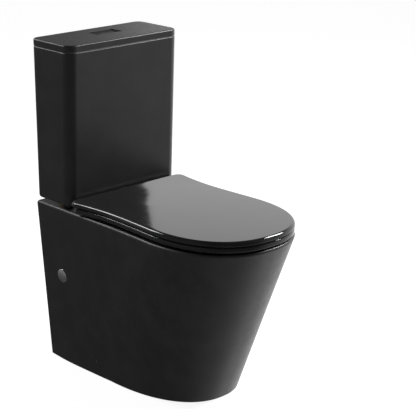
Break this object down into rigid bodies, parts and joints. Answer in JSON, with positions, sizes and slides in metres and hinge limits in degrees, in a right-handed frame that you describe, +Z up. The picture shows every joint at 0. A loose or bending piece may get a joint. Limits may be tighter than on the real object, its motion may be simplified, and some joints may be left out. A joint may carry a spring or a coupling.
{
  "type": "close coupled toilet",
  "caption": "Close coupled back to wall toilet with a tapered skirted pan, slim seat and cover on rear hinges, and a tapered dual flush cistern.",
  "frame": {"origin": "on the floor, midway between the left and right flanks and between the wall and the tip of the seat", "axes": "+Z up, +X to the right seen from the front, +Y towards the wall"},
  "size_m": [0.3686, 0.666, 0.84],
  "materials": {
    "black_glaze": "satin black glaze",
    "seat_plastic": "polished black thermoset",
    "button_plastic": "satin black",
    "white_plastic": "moulded",
    "blue_plastic": "moulded",
    "grey_plastic": "moulded",
    "rubber": "moulded",
    "chrome": "polished",
    "steel": "bright drawn",
    "brass": "turned"
  },
  "bodies": {
    "root": {"pan": "black_glaze", "cistern_tank": "black_glaze", "flush_valve_base": "white_plastic", "flush_valve_tower": "white_plastic", "fill_valve": "white_plastic", "flush_valve_nut": "grey_plastic", "flush_valve_washer": "rubber", "coupling_gasket": "rubber", "fill_valve_washer": "rubber", "fill_valve_nut": "brass", "tank_bolt_left": "brass", "tank_bolt_washer_left": "rubber", "tank_bolt_nut_left": "brass", "tank_rest_pad_left": "rubber", "hinge_pillar_left": "chrome", "hinge_pin_left": "steel", "hinge_plug_left": "rubber", "hinge_nut_left": "brass", "side_cap_left": "chrome", "side_screw_left": "steel", "floor_bracket_left": "grey_plastic", "tank_bolt_right": "brass", "tank_bolt_washer_right": "rubber", "tank_bolt_nut_right": "brass", "tank_rest_pad_right": "rubber", "hinge_pillar_right": "chrome", "hinge_pin_right": "steel", "hinge_plug_right": "rubber", "hinge_nut_right": "brass", "side_cap_right": "chrome", "side_screw_right": "steel", "floor_bracket_right": "grey_plastic"},
    "lid": {"tank_lid": "black_glaze", "button_housing": "button_plastic", "half_button_spring": "steel", "full_button_spring": "steel"},
    "half_button": {"half_flush_button": "button_plastic"},
    "full_button": {"full_flush_button": "button_plastic"},
    "half_plunger": {"half_flush_plunger": "blue_plastic"},
    "full_plunger": {"full_flush_plunger": "blue_plastic"},
    "flush_seal": {"flush_seal_tube": "blue_plastic"},
    "float": {"float_cup": "grey_plastic"},
    "float_lever": {"float_lever": "blue_plastic"},
    "ring": {"seat_ring": "seat_plastic", "ring_bumper_back_left": "rubber", "ring_bumper_back_right": "rubber", "ring_bumper_front_left": "rubber", "ring_bumper_front_right": "rubber"},
    "cover": {"seat_cover": "seat_plastic", "cover_bumper_left": "rubber", "cover_bumper_right": "rubber", "hinge_damper_left": "grey_plastic", "hinge_damper_right": "grey_plastic"}
  },
  "joints": [
    {"name": "tank_lid_lift", "type": "slide", "parent": "root", "child": "lid", "axis": [0, 0, 1], "range_m": [0, 0.12]},
    {"name": "half_button_press", "type": "slide", "parent": "lid", "child": "half_button", "axis": [0, 0, -1], "range_m": [0, 0.006], "stiffness_N_per_m": 250, "springref_m": -0.004, "deforming": ["half_button_spring"]},
    {"name": "full_button_press", "type": "slide", "parent": "lid", "child": "full_button", "axis": [0, 0, -1], "range_m": [0, 0.006], "stiffness_N_per_m": 400, "springref_m": -0.004, "deforming": ["full_button_spring"]},
    {"name": "half_plunger_drop", "type": "slide", "parent": "root", "child": "half_plunger", "axis": [0, 0, -1], "range_m": [0, 0.006]},
    {"name": "full_plunger_drop", "type": "slide", "parent": "root", "child": "full_plunger", "axis": [0, 0, -1], "range_m": [0, 0.006]},
    {"name": "flush_seal_lift", "type": "slide", "parent": "root", "child": "flush_seal", "axis": [0, 0, 1], "range_m": [0, 0.012]},
    {"name": "float_rise", "type": "slide", "parent": "root", "child": "float", "axis": [0, 0, 1], "range_m": [0, 0.008]},
    {"name": "float_lever_tilt", "type": "hinge", "parent": "root", "child": "float_lever", "pos_m": [-0.132, 0.267, 0.745], "axis": [-1, 0, 0], "range_deg": [0, 20]},
    {"name": "seat_ring_hinge", "type": "hinge", "parent": "root", "child": "ring", "pos_m": [0, 0.169, 0.452], "axis": [-1, 0, 0], "range_deg": [0, 90]},
    {"name": "seat_cover_hinge", "type": "hinge", "parent": "ring", "child": "cover", "pos_m": [0, 0.169, 0.452], "axis": [1, 0, 0], "range_deg": [-90, 0]}
  ],
  "couplings": [
    {"joint": "half_plunger_drop", "follows": "half_button_press", "ratio": 1},
    {"joint": "full_plunger_drop", "follows": "full_button_press", "ratio": 1},
    {"joint": "flush_seal_lift", "follows": "full_button_press", "ratio": 2},
    {"joint": "float_lever_tilt", "follows": "float_rise", "rad_per_m": 41.67}
  ]
}
